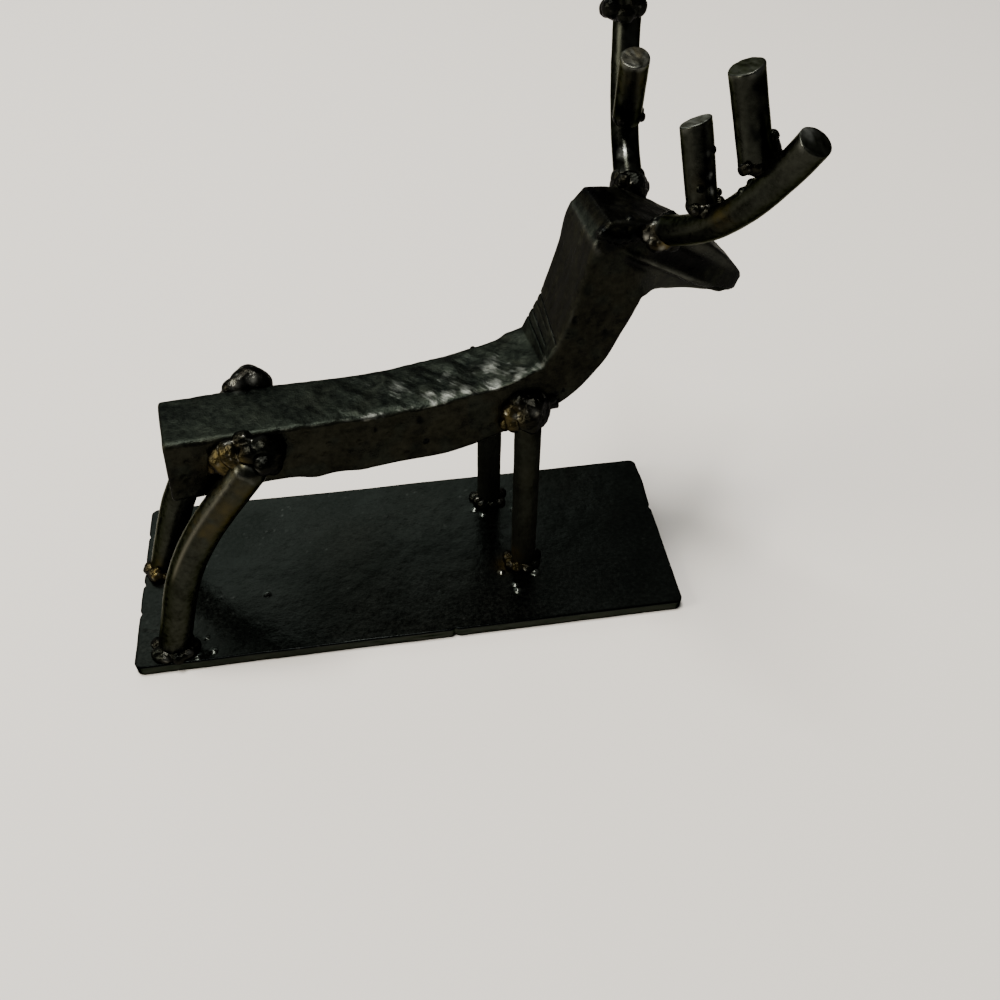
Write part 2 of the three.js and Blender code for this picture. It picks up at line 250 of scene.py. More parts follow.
# sRGB hex to linear: the standard curve, c/12.92 below 0.04045 and ((c+0.055)/1.055)^2.4 above.
def hexColour(text):
    parts = [int(text[i:i + 2], 16) / 255 for i in (0, 2, 4)]
    return tuple(c / 12.92 if c <= 0.04045 else ((c + 0.055) / 1.055) ** 2.4 for c in parts) + (1.0,)


# Adds a node: its own settings, its sockets' values, and links into its sockets from other nodes' outputs.
def addNode(tree, kind, links=None, values=None, **settings):
    node = tree.nodes.new("ShaderNode" + kind)
    for key, value in settings.items():
        setattr(node, key, value)
    for socket, value in (values or {}).items():
        node.inputs[socket].default_value = value
    for socket, source in (links or {}).items():
        tree.links.new(source, node.inputs[socket])
    return node


def newMaterial(name):
    material = bpy.data.materials.new(name)
    material.use_nodes = True
    return material, material.node_tree, material.node_tree.nodes["Principled BSDF"]


# A hammer's strokes, in relief and as painted glints: their turn in radians, how they are drawn out, and
# their width in mm
strokes = {"slant": 0.84, "stretch": (1, 4.5, 1.7), "streak": 1.1}


# Iron blackened in the fire. Two clouds of scale mix each pair of colours, and the layers choose between the
# pairs, grey or brown, and lay over them heat tint and a painted golden gleam in yellow, slag and painted
# shade in black, and wear, painted highlights and painted glints in bright.
def blackenedIron(name, look):
    material, tree, shader = newMaterial(name)
    place = addNode(tree, "TexCoord").outputs["Object"]
    noises = {}
    for key, detail in (("cloud", 4.0), ("scale", 6.0), ("grit", 3.0)):
        values = {"Scale": 1 / (look[key] * mm), "Detail": detail, "Roughness": 0.62}
        noises[key] = addNode(tree, "TexNoise", {"Vector": place}, values).outputs["Fac"]
    summed = addNode(tree, "Math", {0: noises["cloud"], 1: noises["scale"]}, operation="ADD").outputs[0]
    mottle = addNode(tree, "MapRange", {"Value": summed}, {"From Min": 0.78, "From Max": 1.22})
    pairs = {}
    for key in ("grey", "brown"):
        dark, light = (hexColour(colour) for colour in look[key])
        links = {"Factor": mottle.outputs["Result"]}
        pairs[key] = addNode(tree, "Mix", links, {6: dark, 7: light}, data_type="RGBA").outputs[2]
    layers = {key: addNode(tree, "Attribute", attribute_name=key).outputs["Fac"]
              for key in ("brown", "temperAndGleam", "slagAndShade", "wearAndHighlight", "struckAndGlint")}
    links = {"Factor": layers["brown"], 6: pairs["grey"], 7: pairs["brown"]}
    colour = addNode(tree, "Mix", links, data_type="RGBA").outputs[2]
    # Painted glints: bright streaks slanting across the struck places
    values = {"Rotation": (0, 0, strokes["slant"]), "Scale": strokes["stretch"]}
    turned = addNode(tree, "Mapping", {"Vector": place}, values, vector_type="TEXTURE").outputs["Vector"]
    values = {"Scale": 1 / (strokes["streak"] * mm), "Detail": 3.0}
    streaks = addNode(tree, "TexNoise", {"Vector": turned}, values).outputs["Fac"]
    raised = addNode(tree, "Math", {0: streaks, 1: layers["struckAndGlint"]}, operation="MULTIPLY").outputs[0]
    cut = addNode(tree, "Math", {0: layers["struckAndGlint"], 1: streaks}, operation="ADD").outputs[0]
    paintedGlint = addNode(tree, "MapRange", {"Value": cut}, {"From Min": 0.9, "From Max": 1.5, "To Max": 0.38})
    links = {0: layers["wearAndHighlight"], 1: paintedGlint.outputs["Result"]}
    layers["wearAndHighlight"] = addNode(tree, "Math", links, operation="MAXIMUM").outputs[0]
    for key in ("temperAndGleam", "slagAndShade", "wearAndHighlight"):
        links, values = {"Factor": layers[key], 6: colour}, {7: hexColour(look[key])}
        colour = addNode(tree, "Mix", links, values, data_type="RGBA").outputs[2]
    tree.links.new(colour, shader.inputs["Base Color"])
    values = {"From Min": 0.35, "From Max": 0.65, "To Min": look["gloss"][0], "To Max": look["gloss"][1]}
    gloss = addNode(tree, "MapRange", {"Value": noises["scale"]}, values).outputs["Result"]
    glassy = addNode(tree, "Mix", {"Factor": layers["slagAndShade"], 2: gloss}, {3: 0.16})
    tree.links.new(glassy.outputs[0], shader.inputs["Roughness"])
    # Strokes, scale and grit stand in relief, one over the other
    normal = {}
    coarse, fine = look["relief"]
    for height, depth in ((raised, 0.5), (noises["scale"], coarse), (noises["grit"], fine)):
        bump = addNode(tree, "Bump", {"Height": height, **normal}, {"Strength": 1.0, "Distance": depth * mm})
        normal = {"Normal": bump.outputs["Normal"]}
    tree.links.new(bump.outputs["Normal"], shader.inputs["Normal"])
    shader.inputs["Metallic"].default_value = look["metal"]
    shader.inputs["Specular IOR Level"].default_value = look["sheen"]
    shader.inputs["Specular Tint"].default_value = hexColour(look["edge"])
    return material


# Square bar with forge scale, blackened hot with oil: satin; its top painted greenish grey and its flanks
# brown, a painted reflection of cool light above and warm surroundings.
forgedBlack = blackenedIron("forgedBlackIron", {
    "cloud": 12, "scale": 1.8, "grit": 0.6, "brown": ("0c0c08", "21211a"), "grey": ("0d100e", "20241f"),
    "metal": 0.9, "sheen": 0.3, "temperAndGleam": "2e2817", "slagAndShade": "050606", "wearAndHighlight": "9a9d96",
    "gloss": (0.32, 0.48), "edge": "6a685e", "relief": (0.16, 0.14)})
# The thin rod of the front legs, sooted: nearly black, satin.
sootedRod = blackenedIron("sootedRodIron", {
    "cloud": 9, "scale": 1.4, "grit": 0.5, "brown": ("151510", "21221c"), "grey": ("151612", "1f211d"),
    "metal": 0.6, "sheen": 0.0, "temperAndGleam": "2c2614", "slagAndShade": "060606", "wearAndHighlight": "7d7c74",
    "gloss": (0.3, 0.42), "edge": "585750", "relief": (0.06, 0.04)})
# Round rod heated to brown and waxed: a smoother, warmer satin.
brownedRod = blackenedIron("brownedRodIron", {
    "cloud": 9, "scale": 1.4, "grit": 0.5, "brown": ("151612", "262722"), "grey": ("161713", "252722"),
    "metal": 1.0, "sheen": 0.5, "temperAndGleam": "2d291b", "slagAndShade": "070807", "wearAndHighlight": "8c8e88",
    "gloss": (0.26, 0.38), "edge": "a4a59c", "relief": (0.04, 0.03)})
# Flat bar with its blue-grey mill scale still on, waxed: finely pitted, with small painted sparkles.
millScale = blackenedIron("millScalePlate", {
    "cloud": 20, "scale": 1.3, "grit": 0.8, "brown": ("0c0b08", "1a1812"), "grey": ("1b1e1b", "252825"),
    "metal": 1.0, "sheen": 0.5, "temperAndGleam": "3c3117", "slagAndShade": "060707", "wearAndHighlight": "6e716b",
    "gloss": (0.16, 0.25), "edge": "7c8380", "relief": (0.02, 0.035)})
# Arc weld metal with glassy slag on it: black and glossy, with pin-bright highlights, some of them painted.
weldBlack = blackenedIron("weldBlackIron", {
    "cloud": 5, "scale": 1.0, "grit": 0.5, "brown": ("080705", "17140d"), "grey": ("080908", "141613"),
    "metal": 0.9, "sheen": 0.5, "temperAndGleam": "3c341d", "slagAndShade": "050505", "wearAndHighlight": "8a8a82",
    "gloss": (0.1, 0.24), "edge": "6a685e", "relief": (0.12, 0.06)})
print("materials ready")

# The bar that is body, neck and head
bar = {
    "size": 20, "edge": 1.6, "length": 165.3, "height": 63, "rumpBack": 40.9, "endRound": 0.9,
    # Middle from the rump and above the body's height as shares of the length, lean, depth, widths at top,
    # ridge and under, ridge's place
    "stations": [
        (0, 0.0048, -6, 1, 0.94, 0.98, 1, 0.45), (0.1748, 0, 0, 0.93, 0.97, 1, 1, 0.45),
        (0.3503, -0.0151, 6, 0.97, 0.98, 1, 1, 0.45), (0.4713, -0.0133, 7, 0.98, 1, 1, 1, 0.45),
        (0.562, 0.0018, 13, 0.9, 1, 1, 1, 0.45), (0.654, 0.0387, 36, 0.8, 1.02, 1, 1, 0.45),
        (0.6927, 0.092, 57, 0.89, 1.05, 1.02, 1, 0.45), (0.7157, 0.147, 60, 0.94, 1.05, 1.02, 1, 0.45),
        (0.735, 0.2008, 54, 1.02, 1.05, 1.02, 1, 0.45), (0.7465, 0.2402, 38, 1.28, 1.04, 1, 0.95, 0.45),
        (0.7629, 0.2553, 29, 1.43, 0.98, 0.98, 0.86, 0.42),
        (0.7992, 0.2498, 19, 1.3, 0.9, 0.85, 0.62, 0.48), (0.8463, 0.2299, 10, 1.12, 0.78, 0.66, 0.4, 0.6),
        (0.8947, 0.2063, 3, 0.91, 0.62, 0.5, 0.28, 0.72), (0.9528, 0.1712, -6, 0.62, 0.42, 0.34, 0.2, 0.8),
        (1, 0.1367, -18, 0.28, 0.16, 0.16, 0.1, 0.8)],
    "creases": (4.2, 5.9, 8.8, 12.4),  # stations between which the top's bends are crisp
    "rings": 560,
    # Stations where the rings stand closer, how widely and how much
    "crowding": [(5.8, 0.55, 0.9), (9.4, 1, 0.5)],
    # Grooves across the foot of the neck: station, how far they run back on the far side, end, depth
    "grooves": [
        (6.18, 0.25, -0.84, 0.6), (5.64, 0.22, -0.5, 0.65), (5.36, 0.17, -0.6, 0.4), (5.98, 0.2, -0.2, 0.25)],
    # Painted glints: bright patches on the struck top: place along and across the body, half length, half
    # width, strength
    "struckAndGlint": [
        (13, -9, 7, 1.8, 0.8), (10, -5, 5, 2.6, 0.45), (24, -8.6, 4, 1.4, 0.4), (24, 0, 5, 4, 0.45),
        (31, -7.2, 2.6, 3.4, 0.75), (36, -7.4, 2.6, 3.2, 0.85), (38, -1, 5, 4.4, 0.55),
        (42, -7, 2.6, 3.6, 0.8), (48.4, -7.4, 3.2, 3.2, 0.95), (50, 0, 6, 4.6, 0.55), (14, 2, 6, 5, 0.3),
        (55.6, -7.6, 3.6, 3, 1), (61.2, -8.2, 2.6, 2.4, 0.8)],
    "bellySwells": [(-3.2, 4.2, 0.9), (8.5, 6, 0.45), (33, 7, 0.35), (-33, 5, 0.35)],  # place, reach, height
    # Hammer nicks: x, y, z and size
    "nicks": [
        (70.6, -10.5, 90.3, 0.9), (79.9, -10.1, 84.6, 0.7), (27.1, -9.9, 65.6, 1.1), (-30, -9.8, 58, 0.9)],
    "nib": (110.5, -3.2, 1.1),  # x, y and size of the nib on the snout
    "cheek": {"start": (82.7, 109.4), "slope": -0.69},  # line of the jaw's ridge
}


# Middle, upward direction, half depth, half widths and ridge place of the bar's section, at places along its
# stations.
def barSection(places, run=smoothRun):
    table = np.array(bar["stations"], float)
    middle = np.stack([
        table[:, 0] * bar["length"] - bar["rumpBack"], table[:, 1] * 0,
        table[:, 1] * bar["length"] + bar["height"]], axis=-1)
    middle = run(middle, places)
    lean, deep, ridge = np.moveaxis(run(table[:, [2, 3, 7]], places), -1, 0)
    widths = run(table[:, 4:7], places)
    angle = np.radians(lean)
    up = np.stack([-np.sin(angle), angle * 0, np.cos(angle)], axis=-1)
    return middle, up, deep * bar["size"] / 2, widths * bar["size"] / 2, ridge


# Half an outline from the top's middle to the underside's, mirrored for the other half: flats, corner arcs of
# the edge radius, and a ridge between them.
def barOutline(places, run):
    middle, up, half, halves, ridge = barSection(places, run)
    edge = np.minimum(bar["edge"], np.minimum(half, halves.min(axis=-1)) * 0.6)
    ridgeHeight = half - 2 * half * ridge
    arc = np.linspace(0, math.pi / 2, 8)[:, None]
    top = np.linspace(0, 1, 18)[:-1, None]
    flank = np.linspace(0, 1, 16)[1:, None]
    aside = [
        top * (halves[:, 0] - edge),
        halves[:, 0] - edge + edge * np.sin(arc),
        halves[:, 0] + (halves[:, 1] - halves[:, 0]) * flank,
        halves[:, 1] + (halves[:, 2] - halves[:, 1]) * flank,
        halves[:, 2] - edge + edge * np.cos(arc[1:]),
        (halves[:, 2] - edge) * (1 - top[1:]),
    ]
    rise = [
        half + top * 0,
        half - edge + edge * np.cos(arc),
        half - edge + (ridgeHeight - half + edge) * flank,
        ridgeHeight + (edge - half - ridgeHeight) * flank,
        -half + edge - edge * np.sin(arc[1:]),
        -half + top[1:] * 0,
    ]
    aside, rise = np.concatenate(aside).T, np.concatenate(rise).T
    aside = np.concatenate([-aside, aside[:, :0:-1]], axis=1)
    rise = np.concatenate([rise, rise[:, :0:-1]], axis=1)
    points = middle[:, None] + up[:, None] * rise[..., None]
    points[..., 1] = aside
    return points, rise / half[:, None], aside / halves[:, :1]


# Outlines along the stations, crisp where the top is creased, then pushed out or in by the sum of blows,
# grooves and swellings.
def buildBar():
    last = len(bar["stations"]) - 1
    spread = np.linspace(0, last, 4000)
    crowd = 1 + sum(more * np.exp(-((spread - place) / width) ** 2) for place, width, more in bar["crowding"])
    steps = np.linalg.norm(np.diff(barSection(spread)[0], axis=0), axis=1) * crowd[1:]
    run = np.concatenate([[0], np.cumsum(steps)])
    inset = bar["endRound"]
    places = np.interp(np.linspace(inset, run[-1] - inset * 0.5, bar["rings"]), run, spread)
    smooth, rise, aside = barOutline(places, smoothRun)
    crisp = barOutline(places, straightRun)[0]
    low, mid, high, end = bar["creases"]
    sharp = ease(places, low, low + 0.5) * ease(places, mid + 0.4, mid)
    sharp = sharp + ease(places, high, high + 0.5) * ease(places, end, end - 0.7)
    weight = sharp[:, None] * ease(rise, -0.2, 0.7)
    rings = smooth + (crisp - smooth) * weight[..., None] * 0.85
    # End faces: rings drawn in to the middle round the rim and then flat
    angle = np.linspace(0, math.pi / 2, 5)[1:]
    shrink = np.concatenate([1 - (1 - np.cos(angle)) * 0.09, np.linspace(0.91, 0.04, 22)[1:]])
    push = np.concatenate([np.sin(angle), np.ones(21)])

    def cap(ring, axis, reach):
        middle = ring.mean(axis=0)
        return middle + (ring - middle) * shrink[:, None, None] + axis * (reach * push)[:, None, None]

    rearUp, noseUp = barSection(np.array([0.0]))[1][0], barSection(np.array([float(last)]))[1][0]
    rear = cap(rings[0], np.array([-rearUp[2], 0, rearUp[0]]), inset)[::-1]
    nose = cap(rings[-1], np.array([noseUp[2], 0, -noseUp[0]]), inset * 0.5)
    rings = np.concatenate([rear, rings, nose])
    rise, aside = (np.pad(v, ((len(shrink), len(shrink)), (0, 0)), mode="edge") for v in (rise, aside))
    t = np.concatenate([np.zeros(len(shrink)), places, np.full(len(shrink), last)])[:, None] + rise * 0
    normals = ringNormals(rings)
    ups = barSection(t[:, 0])[1]
    topness = (normals * ups[:, None]).sum(axis=-1)
    onTop = ease(topness, 0.5, 0.95)
    onSide = ease(np.abs(normals[..., 1]), 0.5, 0.95)
    onUnder = ease(-topness, 0.5, 0.95)
    edge = np.clip(1 - onTop - onSide - onUnder, 0, 1) * ease(t, 0.0, 0.1)
    u, y, z = np.moveaxis(rings, -1, 0)
    body = ease(t, 5.4, 4.6)
    neck = ease(t, 5.2, 5.8) * ease(t, 9.3, 8.9)
    head = ease(t, 9.2, 10.6)
    height = 0.2 * grain(rings, 19, 1) + 0.09 * grain(rings, 7, 2) + 0.045 * grain(rings, 2.6, 3)
    # Strokes of the hammer's edge slanting over the top, rougher towards the front, over broader blows
    struckAndGlint = (0.25 + 0.75 * ease(t, 0.9, 2.2)) * body * (onTop + edge * (rise > 0))
    across = u * 0.77 + y * 0.64
    along = u * 0.64 - y * 0.77
    scored = grain(np.stack([across, along * 0.3, z * 0.3], axis=-1), 1.5, 11)
    furrows = grain(np.stack([across, along * 0.4, z * 0.4], axis=-1), 3.6, 12)
    blows = scallops(u, y * 0.8, 5.2, 13)
    height += struckAndGlint * (0.24 * scored + 0.42 * furrows + 0.6 * (blows - 0.4))
    # The near top edge beaten down to a ragged bevel
    rim = ease(-aside, 0.62, 0.95) * ease(rise, 0.4, 0.8) * ease(u, 2, 8) * body
    height -= rim * (0.55 + 0.5 * furrows + 0.25 * scored)
    glintPatches = np.zeros(u.shape)
    for place, middle, reach, wide, strength in bar["struckAndGlint"]:
        apart = ((u - place) / reach) ** 2 + ((y - middle) / wide) ** 2
        glintPatches = np.maximum(glintPatches, strength * np.exp(-apart))
    glintPatches *= ease(rise, 0.72, 0.92) * (0.7 + 0.5 * grain(rings, 2.4, 22))
    # Hammered edges wander
    height += edge * (0.24 * grain(rings, 9, 5) + 0.14 * grain(rings, 3.4, 6))
    # Flanks: shallow pits, low lumps and swellings under the belly's near edge
    pits = scallops(u, z, 5.6, 31)
    height -= onSide * 0.32 * ease(pits, 0.035, 0.0) * (grain(rings, 13, 7) > 0.05)
    lumps = scallops(u, z, 7.5, 33)
    height += onSide * body * 0.12 * ease(lumps, 0.12, 0.0)
    under = ease(-rise, 0.55, 0.95) * ease(-aside, 0.3, 0.9) * body
    for place, size, swell in bar["bellySwells"]:
        height += swell * np.exp(-((u - place) / size) ** 2) * under
    # Lengthwise streaks up the back of the neck, and grooves across its foot
    streak = grain(np.stack([y * 5, z * 0.45, u * 0.2], axis=-1), 6, 8)
    height += neck * onTop * 0.14 * streak
    gouge = np.zeros(u.shape)
    for place, skew, stop, deep in bar["grooves"]:
        line = t - place - skew * aside + 0.03 * grain(rings, 5, 10)
        gouge += deep * np.exp(-(line / 0.034) ** 2) * ease(aside, stop - 0.12, stop + 0.12)
    gouge *= ease(rise, 0.75, 1.0)
    height -= gouge
    # Bevel between the neck's back and the poll
    bevel = np.exp(-((t - 9.05 - 0.12 * aside) / 0.1) ** 2) * ease(rise, 0.7, 0.95)
    height += 0.18 * bevel
    # Jaw's ridge, the hollow over it, and the fold under its start
    startU, startZ = bar["cheek"]["start"]
    slope = math.atan(bar["cheek"]["slope"])
    over = (z - startZ) * math.cos(slope) - (u - startU) * math.sin(slope)
    ahead = (u - startU) * math.cos(slope) + (z - startZ) * math.sin(slope)
    jaw = onSide * ease(t, 9.4, 10.2) * ease(t, 14.95, 14.2)
    hollow = jaw * np.exp(-np.abs((over - 4.2) / 2.7) ** 2.6) * ease(ahead, 6, 15) * ease(ahead, 39, 25)
    fold = jaw * np.exp(-((over + 2.0) / 0.9) ** 2) * ease(ahead, 0, 4) * ease(ahead, 15, 9)
    height += jaw * 0.8 * np.exp(-(over / 0.8) ** 2) * ease(ahead, -4, 3)
    height -= 1.7 * hollow + 0.7 * fold
    height += head * (0.13 * grain(rings, 3.2, 9) + 0.1 * onTop * streak)
    # A nib on the snout, its tip rounded off, and hammer nicks
    nibU, nibY, nibSize = bar["nib"]
    height += 0.5 * onTop * np.exp(-((u - nibU) ** 2 + (y - nibY) ** 2) / nibSize ** 2)
    height -= 0.7 * ease(t, 14.7, 15.0) ** 2 * (np.abs(rise) + np.abs(aside) > 0.9)
    nicks = nearSpots(rings, bar["nicks"])
    height -= 0.5 * nicks
    points = rings + normals * (height + beadRise(rings, marks["beads"]))[..., None]
    rough = grain(rings, 3.1, 12) + 0.5 * grain(rings, 1.2, 13)
    worn = edge * ease(rise, 0.3, 0.8) * ease(rough, 0.1, 0.9) * 0.14
    ridge = jaw * np.exp(-((over - 0.2) / 0.6) ** 2) * (0.8 + 0.5 * grain(rings, 3, 24))
    ridge = ridge * ease(ahead, 4, 12) * ease(ahead, 46, 36)
    facet = jaw * ease(-over, -0.4, 1.2) * ease(ahead, 6, 18)
    # Painted highlights where light falls: neck, its bevel and near edge, poll, jaw ridge and facet, and
    # snout
    paintedLight = bevel * 0.05 + 0.007 * neck * onTop + 0.12 * ridge + 0.05 * facet
    paintedLight = paintedLight + 0.02 * onTop * ease(t, 8.95, 9.1) * ease(t, 9.7, 9.5)
    paintedLight = paintedLight + 0.05 * head * (jaw * ease(over, 6, 8) + onTop * ease(t, 11.8, 13))
    paintedLight = paintedLight + 0.08 * edge * (rise > 0) * (aside < 0) * ease(t, 5.5, 5.8) * ease(t, 7.2, 6.2)
    # Painted reflection: flanks brown and the body's top and poll band grey; grain varies the tone at random
    brown = 1 - onTop * ease(t, 6.4, 5.2) - ease(t, 8.9, 9.15) * ease(t, 9.6, 9.4) * onTop
    brown = brown + 0.35 * grain(rings, 5, 16) * onTop * body
    brown = brown - 0.5 * ease(grain(rings, 4.4, 17), 0.1, 0.6) * onSide
    layers = layersOf(rings, np.clip(worn + paintedLight, 0, 1), brown, 90)
    # Painted glints: the struck top and the glint patches, turned into bright streaks in the material
    layers["struckAndGlint"] = np.clip(glintPatches + 0.12 * struckAndGlint * ease(t, 1.4, 2.6), 0, 1)
    # Painted shade: grooves, jaw hollow and fold darkened, the antlers' painted shadow over the head's crown,
    # and flank stains over an even painted shade on the flanks; the nicks are darkened too
    flankStainsAndShade = (0.25 + 0.4 * ease(grain(rings, 6.5, 19) + 0.5 * grain(rings, 2, 20), 0.15, 0.7)) * onSide
    crownShadow = 0.45 * onTop * ease(t, 9.7, 10) * ease(t, 10.9, 10.2)
    shadeAndStains = ease(gouge, 0.04, 0.3) + nicks + hollow + 0.8 * fold + flankStainsAndShade + crownShadow
    layers["slagAndShade"] = np.clip(layers["slagAndShade"] + shadeAndStains, 0, 1)
    ringPiece("forgedBar", placeStag(points), "body_bar", forgedBlack, layers)


buildBar()
print("bar ready")

# Round rod: legs, antler beams and tines
rods = {
    "frontRod": 7.8, "hindRod": 9.6, "antlerRod": 7.5, "seam": 0.3, "splay": 0.9, "rim": 0.45,
    "sides": 84, "step": 0.34, "frontSink": 1.2, "hindSink": 1.6,
    "frontForward": 56.04, "frontStagger": 1.3, "frontTop": 61.5,
    "hockHeight": 38.43, "hockEase": 9, "hindTop": 68,
    # Hind legs: how far back foot, hock and top lie, and how far the top runs on
    "hind": {"near": (54.7, 42, 18.2, 0), "far": (55, 40.6, 16.8, 4.6)},
    "antlerStation": 11.56, "antlerOut": 4.0, "antlerRise": 1.1, "antlerReach": 53.4,
    "beamBends": [(0.071, 0.279, 0.125), (0.124, 0.487, 0.371), (0.2, 0.655, 0.728)],
    # Tines: places along the beams, length and lean
    "tines": {
        "short": ({"near": 0.29, "far": 0.29}, 18.6, (-0.12, 0.3, 0.95)),
        "tall": ({"near": 0.675, "far": 0.755}, 19.8, (-0.24, 0.16, 0.95))},
}


def unit(vector):
    return np.asarray(vector, float) / np.linalg.norm(vector)


# Straight leg from under the plate's top up the bar's side.
def frontLegPath(side):
    forward = rods["frontForward"] - side * rods["frontStagger"]
    aside = bar["size"] / 2 + rods["frontRod"] / 2 + rods["seam"]
    foot = (forward, side * (aside + rods["splay"]), -rods["frontSink"])
    return np.array([foot, (forward, side * aside, rods["frontTop"])])


# Curve through foot, just below the hock, just above it, and top.
def hindLegPath(side, word):
    footBack, hockBack, topBack, overrun = rods["hind"][word]
    aside = bar["size"] / 2 + rods["hindRod"] / 2 + rods["seam"]
    foot = np.array((-footBack, side * (aside + rods["splay"]), 0.0))
    hock = np.array((-hockBack, side * aside, rods["hockHeight"]))
    top = np.array((-topBack, side * aside, rods["hindTop"]))
    thigh, shin = unit(top - hock), unit(foot - hock)
    bend = rods["hockEase"]
    points = [foot + shin * rods["hindSink"], hock + shin * bend, hock + thigh * bend, top + thigh * overrun]
    return smoothRun(points, np.linspace(0, 3, 200))


# Cubic with four handles: (1-f)^3 root + 3(1-f)^2 f first + 3(1-f) f^2 second + f^3 tip.
def beamPath(side, places):
    middle, up, half, halves, ridge = barSection(np.array([rods["antlerStation"]]))
    root = middle[0] + up[0] * (half[0] + rods["antlerRise"])
    root[1] = side * (halves[0, 0] + rods["antlerOut"])
    handles = np.array([(0, 0, 0)] + rods["beamBends"]) * (1, side, 1) * rods["antlerReach"] + root
    f = np.asarray(places, float)[:, None]
    weights = ((1 - f) ** 3, 3 * (1 - f) ** 2 * f, 3 * (1 - f) * f ** 2, f ** 3)
    return sum(weight * handle for weight, handle in zip(weights, handles))


# Straight from just below where the tine meets the beam, along its lean.
def tinePath(side, word, kind):
    shares, length, lean = rods["tines"][kind]
    spot, ahead = beamPath(side, [shares[word], shares[word] + 0.01])
    lean = unit(np.array(lean) * (1, -side, 1))
    angle = math.acos(float(unit(ahead - spot) @ lean))
    lift = (rods["antlerRod"] / 2 * (1 + math.cos(angle)) + rods["seam"]) / math.sin(angle)
    foot = spot + lean * lift
    return np.array([foot - lean * 1.2, foot + lean * length])


# Circles square to a path, carried along it by a profile of place and radius: discs, rounded rims and the
# shank between.
def rodRings(path, radius, across, rims):
    lengths = np.concatenate([[0], np.cumsum(np.linalg.norm(np.diff(path, axis=0), axis=1))])
    total = lengths[-1]
    foot, head = rims
    angle = np.linspace(0, math.pi / 2, 9)
    disc = np.linspace(0.04, 1, 9)[:-1]
    shank = np.linspace(foot, total - head, max(8, int(total / rods["step"])))[1:-1]
    place = np.concatenate([
        disc * 0, foot - foot * np.cos(angle), shank, total - head + head * np.sin(angle), disc * 0 + total])
    size = np.concatenate([
        disc * (radius - foot), radius - foot + foot * np.sin(angle), shank * 0 + radius,
        radius - head + head * np.cos(angle), disc[::-1] * (radius - head)])
    middle = np.stack([np.interp(place, lengths, path[:, k]) for k in range(3)], axis=-1)
    slopes = np.gradient(path, lengths, axis=0)
    tangent = np.stack([np.interp(place, lengths, slopes[:, k]) for k in range(3)], axis=-1)
    tangent /= np.linalg.norm(tangent, axis=-1, keepdims=True)
    first = np.cross(tangent, across)
    first /= np.linalg.norm(first, axis=-1, keepdims=True)
    second = np.cross(tangent, first)
    turn = np.linspace(0, 2 * math.pi, rods["sides"], endpoint=False)
    spokes = np.cos(turn)[None, :, None] * first[:, None] + np.sin(turn)[None, :, None] * second[:, None]
    rings = middle[:, None] + size[:, None, None] * spokes
    atEnd = (place > total - head * 0.2) * 1 - (place < foot * 0.2) * 1
    onEnd = np.repeat(atEnd[:, None], rods["sides"], axis=1)
    return rings, middle, tangent, onEnd, place, total


# A rod: rings moved out by grain and spatter, with saw marks on its ends. Slant shears its cut end by
# slant . (point - middle), and paintedGleam is a painted golden highlight line along it: turn, half width,
# start and end.
def buildRod(name, node, path, diameter, across, metal, slot, seed,
             rims=None, slant=(0, 0, 0), sawn=0.12, paintedGleam=None):
    rims = rims or (rods["rim"], rods["rim"])
    rings, middle, tangent, onEnd, place, total = rodRings(path, diameter / 2, across, rims)
    normals = ringNormals(rings)
    normals = np.where((onEnd != 0)[..., None], tangent[:, None] * onEnd[..., None], normals)
    height = 0.07 * grain(rings, 8, seed) + 0.04 * grain(rings, 3, seed + 1)
    height = np.where(onEnd != 0, 0.07 * grain(rings * (1, 0.25, 1), 0.9, seed + 2), height)
    atRim = np.exp(-((place - rims[0]) / 0.7) ** 2) + np.exp(-((total - rims[1] - place) / 0.7) ** 2)
    height += (onEnd == 0) * atRim[:, None] * 0.12 * grain(rings, 1.6, seed + 3)
    shear = ((rings - middle[:, None]) @ np.array(slant, float)) * ease(place, total - 9, total)[:, None]
    height += beadRise(rings, marks["beads"])
    points = rings + tangent[:, None] * shear[..., None] + normals * height[..., None]
    worn = np.clip(atRim[:, None] * (0.1 + 0.4 * grain(rings, 2.2, seed + 4)), 0, 1) * 0.5
    scratch = sawn * (1 + 0.8 * grain(rings * (1, 0.15, 1), 0.7, seed + 5))
    worn = np.where(onEnd > 0, scratch, worn)
    # Painted highlight: a bright golden line along the rod, where light glances off it
    if paintedGleam:
        turn = np.linspace(0, 2 * math.pi, rods["sides"], endpoint=False)[None]
        where, wide, start, end = paintedGleam
        line = np.exp(-((turn - where) / wide) ** 2)
        line = line * (ease(place, start - 9, start) * ease(place, end + 3, end - 4))[:, None]
        worn = worn + 0.16 * line
    brown = 0.6 + 0.5 * grain(rings, 9, seed + 6)
    layers = layersOf(rings, worn, brown, seed + 7)
    # The painted golden highlight line goes into the heat-tint layer too
    if paintedGleam:
        layers["temperAndGleam"] = np.maximum(layers["temperAndGleam"], line)
    ringPiece(name, placeStag(points), node, metal, layers)


# How single rods differ: their rims, slanted or polished cuts, and the painted highlight line along the near
# thigh
endings = {
    "nearHindLegRod": {"rims": (1.2, 3.4), "paintedGleam": (0.66, 0.11, 40, 74)},
    "farHindLegRod": {"rims": (1.2, 3.0)},
    "nearShortTineRod": {"slant": (0.17, -0.06, 0), "sawn": 0.5},
    "nearTallTineRod": {"slant": (0.09, 0, 0), "sawn": 0.09},
    "farShortTineRod": {"sawn": 0.08}, "nearAntlerBeamRod": {"sawn": 0.0}, "farAntlerBeamRod": {"sawn": 0.04},
}
